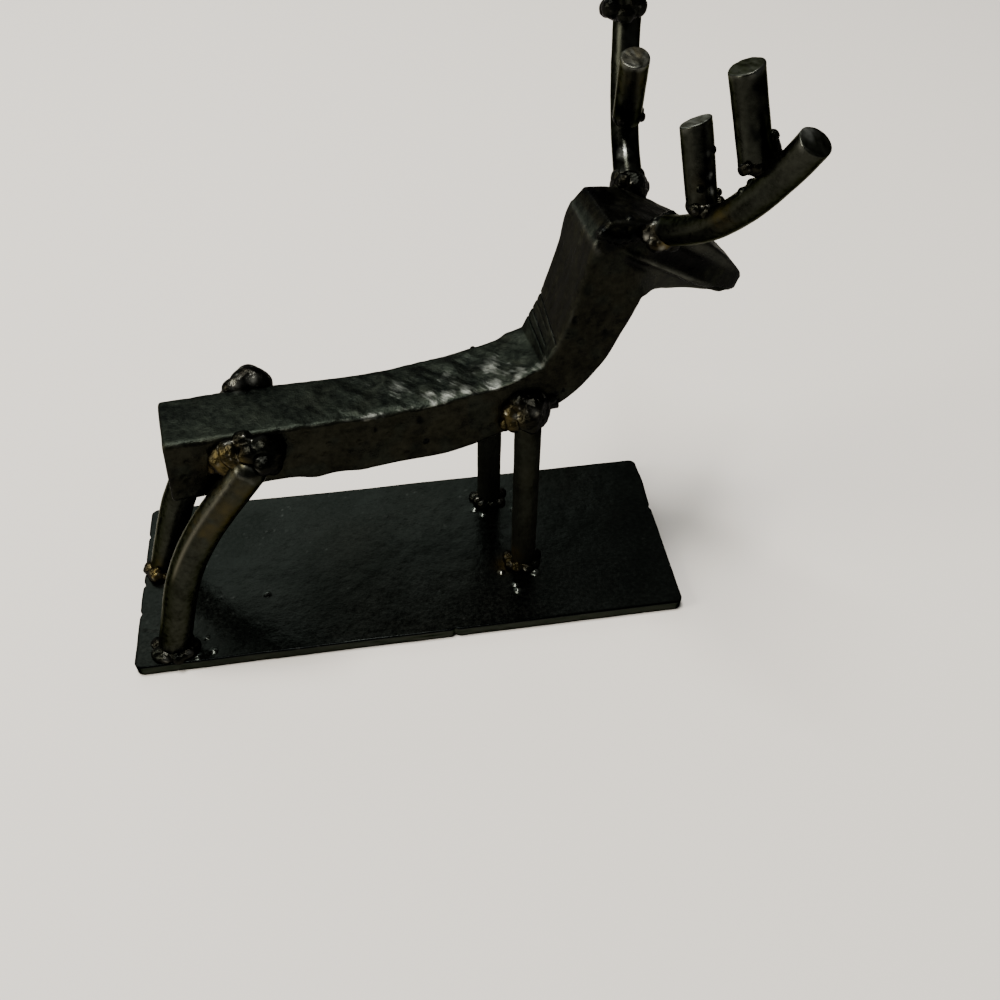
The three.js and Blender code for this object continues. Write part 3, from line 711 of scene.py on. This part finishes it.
# Each kind of rod: node, diameter, a direction across it, metal, slot, and its seed after the side's
rodKinds = {
    "FrontLeg": ("front_leg", "frontRod", (1, 0, 0), sootedRod, "black_iron", 0),
    "HindLeg": ("hind_leg", "hindRod", (0, 1, 0), brownedRod, "browned_iron", 5),
    "AntlerBeam": ("antler_beam", "antlerRod", (1, 0, 0), brownedRod, "browned_iron", 10),
    "ShortTine": ("short_tine", "antlerRod", (1, 0, 0), brownedRod, "browned_iron", 12),
    "TallTine": ("tall_tine", "antlerRod", (1, 0, 0), brownedRod, "browned_iron", 14),
}
for word, side, seed in (("near", -1, 40), ("far", 1, 60)):
    paths = [
        frontLegPath(side), hindLegPath(side, word), beamPath(side, np.linspace(0, 1, 120)),
        tinePath(side, word, "short"), tinePath(side, word, "tall")]
    for (title, kind), path in zip(rodKinds.items(), paths):
        node, rod, across, metal, slot, more = kind
        name = f"{word}{title}Rod"
        ending = endings.get(name, {})
        buildRod(name, f"{word}_{node}", path, rods[rod], across, metal, slot, seed + more, **ending)
print("rods ready")

# Weld metal: each lump is a base ball, a middle and radii, with droplets on it, each a middle and a radius
welds = {"around": 110, "down": 66, "soft": 1.15, "crumbs": ((3.0, 0.36), (1.4, 0.26), (0.7, 0.13))}


# Along each direction from the middle, the way out of each ball and droplet, b + sqrt(b^2 - |c|^2 + r^2), and
# the soft largest of them, log(sum exp(soft x)) / soft; then grain at three sizes.
def weldRings(middle, ball, drops, seed, crumbly):
    polar = np.linspace(0.03, math.pi - 0.03, welds["down"])[:, None]
    turn = np.linspace(0, 2 * math.pi, welds["around"], endpoint=False)[None]
    ways = [np.sin(polar) * np.cos(turn), np.sin(polar) * np.sin(turn), np.cos(polar) + turn * 0]
    ways = np.stack(ways, axis=-1)
    base = 1 / np.sqrt(((ways / ball) ** 2).sum(axis=-1))
    drops = np.asarray(drops, float)
    centres, radii = drops[:, :3] - middle, drops[:, 3]
    along = ways @ centres.T
    inside = along ** 2 - (centres ** 2).sum(axis=-1) + radii ** 2
    exits = np.where(inside > 0, along + np.sqrt(np.maximum(inside, 0)), 0)
    swollen = np.exp(base * welds["soft"]) + np.exp(exits * welds["soft"]).sum(axis=-1)
    reach = np.log(swollen) / welds["soft"]
    points = middle + ways * reach[..., None]
    for order, (size, swell) in enumerate(welds["crumbs"]):
        reach = reach + crumbly * swell * grain(points, size, seed + order)
    return middle + ways * reach[..., None]


# Droplets strewn round a joint: seeded directions, their middles on a flattened ball about it.
def strewnDrops(middle, spread, sizes, count, seed):
    lots = np.random.default_rng(seed)
    ways = lots.normal(size=(count, 3))
    ways /= np.linalg.norm(ways, axis=1, keepdims=True)
    return np.concatenate([middle + ways * spread, lots.uniform(*sizes, (count, 1))], axis=1)


# A weld lump. Craters are dips with a rim, 0.45 exp(-((d - size) / 0.6)^2) - deep exp(-(d / (0.7 size))^2) at
# distance d.
def buildWeld(name, node, middle, ball, drops, seed, floor=None, craters=(), crumbly=1.0):
    middle = np.asarray(middle, float)
    rings = weldRings(middle, np.asarray(ball, float), drops, seed, crumbly)
    outward = rings - middle
    outward /= np.linalg.norm(outward, axis=-1, keepdims=True)
    pit = np.zeros(rings.shape[:2])
    for *spot, size, deep in craters:
        d = np.linalg.norm(rings - spot, axis=-1)
        pit += 0.45 * np.exp(-((d - size) / 0.6) ** 2) - deep * np.exp(-(d / (0.7 * size)) ** 2)
    points = rings + outward * pit[..., None]
    if floor is not None:
        points[..., 2] = np.maximum(points[..., 2], floor)
    # Painted highlights: bright flecks on the weld's upward-facing parts
    wearAndHighlight = 0.35 * ease(grain(rings, 0.9, seed + 5), 0.55, 0.8) * ease(outward[..., 2], -0.2, 0.5)
    layers = layersOf(rings, wearAndHighlight, 0.3 + 0.5 * grain(rings, 3, seed + 6), seed + 7)
    layers["slagAndShade"] = np.clip(layers["slagAndShade"] + ease(-pit, 0.1, 0.6), 0, 1)
    ringPiece(name, placeStag(points), node, weldBlack, layers)


feet = {
    "nearFront": [
        (52.8, -16.2, 0.6, 1.8), (54.2, -17.8, 0.4, 1.8), (57.6, -19.4, 0.2, 1.6), (60.4, -18, 0.2, 1.6),
        (61.8, -14.4, 0.3, 1.7), (53, -13, 0.6, 1.8),
    ],
    "farFront": [
        (50.4, 13.4, 0.6, 1.9), (51.4, 10.6, 0.5, 1.7), (54.6, 10.2, 0.4, 1.7), (57.8, 11, 0.4, 1.7),
        (49.6, 16, 0.4, 1.6), (59, 14.6, 0.4, 1.6),
    ],
    "nearHind": [
        (-59.2, -18.6, 0.8, 2.1), (-57.6, -20.6, 0.6, 1.8), (-54, -21.6, 0.5, 1.8),
        (-50.6, -20.4, 0.6, 1.9), (-48.8, -17.4, 0.4, 1.6), (-59.4, -14.6, 0.5, 1.8),
        (-52.2, -21.4, 1.2, 1.1),
    ],
    "farHind": [
        (-58.4, 12.8, 0.9, 2.1), (-57.4, 10.8, 1.4, 1.8), (-54, 10.6, 0.6, 1.9), (-59.6, 16, 0.6, 1.9),
        (-50.6, 13, 0.5, 1.8), (-57, 11.8, 3.4, 1.3),
    ],
}
for word, side in (("near", -1), ("far", 1)):
    foot = frontLegPath(side)[0] * (1, 1, 0) + (0, 0, 0.2)
    drops = feet[f"{word}Front"]
    buildWeld(f"{word}FrontFootWeld", f"{word}_front_foot_weld", foot, (5.0, 5.0, 2.2), drops, 5 + side, -0.3)
    foot = hindLegPath(side, word)[0] * (1, 1, 0) + (0.6, 0, 0.2)
    drops = feet[f"{word}Hind"]
    buildWeld(f"{word}HindFootWeld", f"{word}_hind_foot_weld", foot, (5.9, 5.9, 2.4), drops, 8 + side, -0.3)

# The near side's joints as their droplets lie, and the far side's after them
shoulderDrops = np.array([
    (53, 11.8, 62.8, 2.7), (51.8, 10.8, 58.8, 2.1), (55.6, 11, 66.2, 2.6), (58.6, 13, 64.8, 3.6),
    (62, 11, 64.4, 2.6), (65, 10.2, 64, 1.7), (61.4, 12.8, 61, 2.6), (57.4, 14.4, 61.4, 3.9),
    (66.8, 10, 61.4, 1.2), (53.6, 13.6, 60.4, 2.2)])
hipDrops = np.array([
    (-24.4, 11.8, 70.4, 2.6), (-20, 10.4, 72, 2.3), (-26.8, 11.2, 67.6, 3.0), (-28.8, 10.2, 64.6, 2.2),
    (-15.6, 13.4, 71, 2.9), (-13.2, 12.2, 67.6, 3.2), (-12.4, 10.2, 63.6, 2.2), (-11.2, 10, 66.6, 1.7),
    (-19.6, 13.4, 70.4, 2.3), (-25, 12.6, 65, 2.8), (-23, 13.6, 68.8, 2.5), (-19.4, 14.8, 70.2, 2.4),
    (-14.2, 14.6, 69, 2.8), (-16.2, 17, 67.8, 2.9), (-14, 16.2, 66, 2.4)])
buildWeld("nearFrontShoulderWeld", "near_front_shoulder_weld", (58.4, -11.4, 62.6), (5.0, 3.6, 4.4),
          shoulderDrops * (1, -1, 1, 1), 19)
buildWeld("nearHindShoulderWeld", "near_hind_shoulder_weld", (-20.6, -11.2, 67.6), (7.6, 4.0, 5.2),
          hipDrops * (1, -1, 1, 1), 23, craters=[(-22, -14, 71.2, 1.6, 1.3)])
buildWeld("farFrontShoulderWeld", "far_front_shoulder_weld", (56.2, 11.4, 62.4), (5.0, 3.6, 4.4),
          shoulderDrops * (1, 1, 1, 0.95) - (2.6, 0, 0.2, 0), 27)
# The far thigh's top end, buried in weld that stands up over the bar
farHipDrops = [
    (-15.4, 13.2, 73.4, 3), (-13.2, 11.8, 72.4, 2.9), (-18, 11.6, 72.6, 2.8), (-20.6, 11.4, 71, 2.6),
    (-11.8, 10.8, 71.4, 2.2), (-15.6, 14.6, 70, 3.4),
]
buildWeld("farHindShoulderWeld", "far_hind_shoulder_weld", (-15.2, 11.8, 70.4), (4.8, 3.0, 4.2),
          farHipDrops, 31, crumbly=0.25)
# Each tine's weld: middle above the foot of the tine, radii, and its droplets beside that middle
tineWelds = {
    ("near", "short"): ((0, 0, 0.9), (4.0, 4.0, 2.6), [
        (-3, -2, 0.4, 1.3), (3.2, -1.6, 0.8, 1.4), (2, -3.2, 0.6, 1.1), (-1, -3.4, -0.2, 1),
        (3.6, 0.6, 2.2, 0.9),
    ]),
    ("near", "tall"): ((0, 0, 0.9), (4.0, 4.0, 2.6), [
        (-3.4, -2.2, 0.2, 1.1), (-3.6, -1.4, -0.6, 1.1), (2.6, 0.4, 1.4, 2.3), (2.3, 0.3, 3.2, 1.8),
        (2.2, 0.2, 5, 1.3), (1.4, -3.6, -0.4, 1.1), (3.2, -0.8, 0.6, 1.8),
    ]),
    ("far", "short"): ((0, 0, 0.9), (3.9, 3.9, 2.6), [
        (3.5, 0.4, 0.6, 1.2), (3, -2, 0, 1), (-2.6, -2.6, 0, 0.9),
    ]),
    ("far", "tall"): ((-0.4, 0, 0.6), (5.4, 5.0, 3.6), [
        (-4, -1.6, 0.6, 2.2), (3, -2.8, 0.4, 2), (-1, -4, -0.8, 1.8), (4, 1, 0, 1.8), (-3.6, 2, -1, 2),
        (1.6, -3, 2, 1.8),
    ]),
}
for word, side in (("near", -1), ("far", 1)):
    root = beamPath(side, [0.0])[0] + (0, -side * 0.8, -1.2)
    drops = strewnDrops(root, (4.2, 3.2, 3.6), (1.2, 2.2), 10, 41 + side)
    buildWeld(f"{word}AntlerRootWeld", f"{word}_antler_root_weld", root, (5.1, 4.5, 4.4), drops, 35 + side)
    for kind, lot in (("short", 51), ("tall", 57)):
        shift, ball, drops = tineWelds[word, kind]
        joint = tinePath(side, word, kind)[0] + shift
        drops = [(joint[0] + x, joint[1] + y, joint[2] + z, size) for x, y, z, size in drops]
        name = f"{word}{kind.title()}TineWeld"
        buildWeld(name, f"{word}_{kind}_tine_weld", joint, ball, drops, lot + side, crumbly=0.6)
print("welds ready")

plate = {
    "length": 170, "width": 64, "thick": 4, "corner": 2.5, "edge": 0.35, "step": 0.53, "wallRows": 5,
    # Nicks in the rim: x, y, 0 and size
    "notches": [
        (-85, 4.6, 0, 0.8), (-85, -0.4, 0, 0.9), (-85, -12, 0, 0.7), (-85, 20, 0, 0.7), (12, -32, 0, 0.7),
        (85, 9, 0, 0.8)],
    "heated": [(30.6, -9, 0, 3), (-79, 3.4, 0, 3)],
}


# Top and bottom sheets over one grid drawn in at the corners, joined by a wall. Heights fall away round the
# rim by edge (1 - sqrt(1 - (1 - d / edge)^2)) at distance d from it.
def buildPlate():
    def spaced(half):
        rim = np.array([0, 0.12, 0.3, 0.55, 0.9, 1.4, 2.0, 2.6])
        middle = np.linspace(-half + 2.6, half - 2.6, int((2 * half - 5.2) / plate["step"]) + 1)[1:-1]
        return np.concatenate([rim - half, middle, (half - rim)[::-1]])

    def cells(grid):
        return np.stack([grid[:-1, :-1], grid[1:, :-1], grid[1:, 1:], grid[:-1, 1:]], axis=-1).reshape(-1, 4)

    x = spaced(plate["length"] / 2)[:, None]
    y = spaced(plate["width"] / 2)[None]
    over = np.clip(np.abs(x) - (plate["length"] / 2 - plate["corner"]), 0, plate["corner"])
    drawn = plate["corner"] - np.sqrt(plate["corner"] ** 2 - over ** 2)
    wide = y * (plate["width"] / 2 - drawn) / (plate["width"] / 2)
    inner = np.stack([x + wide * 0, wide, wide * 0], axis=-1)
    toRim = np.minimum(plate["length"] / 2 - np.abs(inner[..., 0]), plate["width"] / 2 - drawn - np.abs(wide))
    outward = np.clip(1 - toRim / 3, 0, 1)
    wander = 0.22 * grain(inner, 30, 70) + 0.1 * grain(inner, 6, 71) - 0.1
    notch = nearSpots(inner, plate["notches"])
    bulge = 0.5 * np.exp(-((inner[..., 1] - 21) / 5) ** 2) * (inner[..., 0] > 0)
    length = np.hypot(inner[..., 0] / plate["length"], inner[..., 1] / plate["width"])[..., None] + 1e-6
    away = inner * (1 / plate["length"], 1 / plate["width"], 0) / length
    moved = inner + away * ((wander + bulge - 0.7 * notch) * outward)[..., None]
    past = 1 - np.clip(toRim / plate["edge"], 0, 1)
    rounded = plate["edge"] * (1 - np.sqrt(1 - past ** 2))
    relief = 0.04 * grain(inner, 14, 74) + 0.04 * grain(inner, 4, 75) + 0.022 * grain(inner, 1.7, 76)
    relief -= 0.03 * ease(scallops(inner[..., 0], inner[..., 1], 4.4, 77), 0.03, 0.0)
    scar = inner[..., 1] + 18 + 0.3 * (inner[..., 0] + 80) + 0.8 * grain(inner, 3, 81)
    relief += 0.1 * np.exp(-(scar / 0.5) ** 2) * ease(inner[..., 0], -70, -74)
    top = moved.copy()
    top[..., 2] = plate["thick"] - rounded + relief * np.clip(toRim / 0.9, 0, 1)
    beads = beadRise(top, marks["plateBeads"])
    top[..., 2] += beads
    bottom = moved.copy()
    bottom[..., 2] = rounded * 0.6
    rows, columns = top.shape[:2]
    index = np.arange(rows * columns).reshape(rows, columns)
    rim = np.concatenate([index[0, :-1], index[:-1, -1], index[-1, :0:-1], index[:0:-1, 0]])
    flatTop, flatBottom = top.reshape(-1, 3), bottom.reshape(-1, 3)
    shares = np.linspace(0, 1, plate["wallRows"] + 2)[1:-1, None, None]
    wall = flatTop[rim] * (1 - shares) + flatBottom[rim] * shares
    sideways = wall * (1, 1, 0)
    sideways /= np.linalg.norm(sideways, axis=-1, keepdims=True)
    wall = wall + sideways * (0.08 * grain(wall * (1, 1, 2.5), 2.4, 78))[..., None]
    start = 2 * rows * columns
    walls = start + np.arange(plate["wallRows"] * len(rim)).reshape(plate["wallRows"], -1)
    ladder = np.concatenate([rim[None], walls, rim[None] + rows * columns])
    upper, lower = ladder[:-1], ladder[1:]
    sides = np.stack([upper, np.roll(upper, -1, axis=1), np.roll(lower, -1, axis=1), lower], axis=-1)
    points = np.concatenate([flatTop, flatBottom, wall.reshape(-1, 3)])
    quads = np.concatenate([cells(index), cells(index + rows * columns)[:, ::-1], sides.reshape(-1, 4)])
    onTop = np.arange(len(points)) < rows * columns
    layers = {key: np.zeros(len(points)) for key in ("wearAndHighlight", "temperAndGleam", "slagAndShade", "brown")}
    # Painted sparkles: small bright specks strewn over the top
    paintedSparkle = ease(grain(inner, 0.9, 79), 0.6, 0.9) * ease(grain(inner, 9, 82), -0.2, 0.5) * 0.22
    layers["wearAndHighlight"][onTop] = (paintedSparkle + 0.3 * ease(beads, 0.1, 0.4)).reshape(-1)
    # Painted shade darkens the top's rounded rim, dimming its highlight; painted light makes the wall lighter
    layers["slagAndShade"][onTop] = ease(toRim, 0.7, 0.3).reshape(-1)
    layers["wearAndHighlight"][~onTop] = 0.1
    layers["temperAndGleam"][onTop] = (0.8 * nearSpots(inner, plate["heated"])).reshape(-1)
    layers["brown"] = np.where(onTop, 0.15 + 0.35 * grain(points * (1, 1, 0), 24, 83), 0.6)
    none = np.zeros((0, 3), int)
    makePiece("millScalePlate", points * mm, quads, none, "base_plate", millScale, layers)


buildPlate()
print("plate ready")

# Plain pale floor and three soft lights: overhead, from a window to the left and from a pale wall behind
studio = {
    "floorHalf": 6.0, "floorColour": "dcd7d1", "world": ("e8e9e6", 0.3),
    # Place, size, power in watts and colour of each light; all of them look at the stag
    "lights": {
        "overheadLight": ((-0.2, 0.15, 1.6), (0.5, 0.5), 42, "fbf8f2"),
        "windowLight": ((-2.2, -0.2, 1.1), (1.0, 1.2), 62, "f9f3e2"),
        "wallLight": ((-0.95, 2.4, 1.6), (3.0, 2.4), 40, "e8eeec"),
    },
    "aim": (0, 0, 0.05),
}
half = studio["floorHalf"]
floorMesh = bpy.data.meshes.new("studioFloor")
corners = [(-half, -half, 0), (half, -half, 0), (half, half, 0), (-half, half, 0)]
floorMesh.from_pydata(corners, [], [(0, 1, 2, 3)])
floor = bpy.data.objects.new("studioFloor", floorMesh)
bpy.context.scene.collection.objects.link(floor)
floorPaint, floorTree, floorShader = newMaterial("studioFloorPaint")
floorShader.inputs["Base Color"].default_value = hexColour(studio["floorColour"])
floorShader.inputs["Roughness"].default_value = 0.9
floorMesh.materials.append(floorPaint)

world = bpy.data.worlds.new("studioWorld")
bpy.context.scene.world = world
world.use_nodes = True
sky = world.node_tree.nodes["Background"]
sky.inputs["Color"].default_value = hexColour(studio["world"][0])
sky.inputs["Strength"].default_value = studio["world"][1]

for name, (place, size, power, colour) in studio["lights"].items():
    lamp = bpy.data.lights.new(name, "AREA")
    lamp.shape = "RECTANGLE"
    lamp.size, lamp.size_y = size
    lamp.energy = power
    lamp.color = hexColour(colour)[:3]
    light = bpy.data.objects.new(name, lamp)
    light.location = place
    light.rotation_euler = (Vector(studio["aim"]) - Vector(place)).to_track_quat("-Z", "Y").to_euler()
    bpy.context.scene.collection.objects.link(light)

# The photograph's viewpoint: place in mm, turn, downward tilt and roll in radians, focal length in pixels of
# a frame 1000 pixels wide
camera = {
    "place": (-3.5707, -199.6387, 249.5515), "turn": -0.169131, "down": 0.835337, "roll": -0.0178768,
    "focal": 950.912, "frame": 1000,
}
turn, down, roll = camera["turn"], camera["down"], camera["roll"]
right = Vector((math.cos(turn), math.sin(turn), 0))
ahead = Vector((-math.cos(down) * math.sin(turn), math.cos(down) * math.cos(turn), -math.sin(down)))
below = ahead.cross(right)
rolledRight = right * math.cos(roll) + below * math.sin(roll)
rolledBelow = below * math.cos(roll) - right * math.sin(roll)
lens = bpy.data.cameras.new("photoCamera")
lens.sensor_fit = "HORIZONTAL"
lens.sensor_width = 36
lens.lens = camera["focal"] * lens.sensor_width / camera["frame"]
lens.clip_start = 0.01
cameraObject = bpy.data.objects.new("photoCamera", lens)
axes = Matrix((rolledRight, -rolledBelow, -ahead)).transposed().to_4x4()
cameraObject.matrix_world = Matrix.Translation(Vector(camera["place"]) * mm) @ axes
bpy.context.scene.collection.objects.link(cameraObject)
bpy.context.scene.camera = cameraObject
print("camera ready")
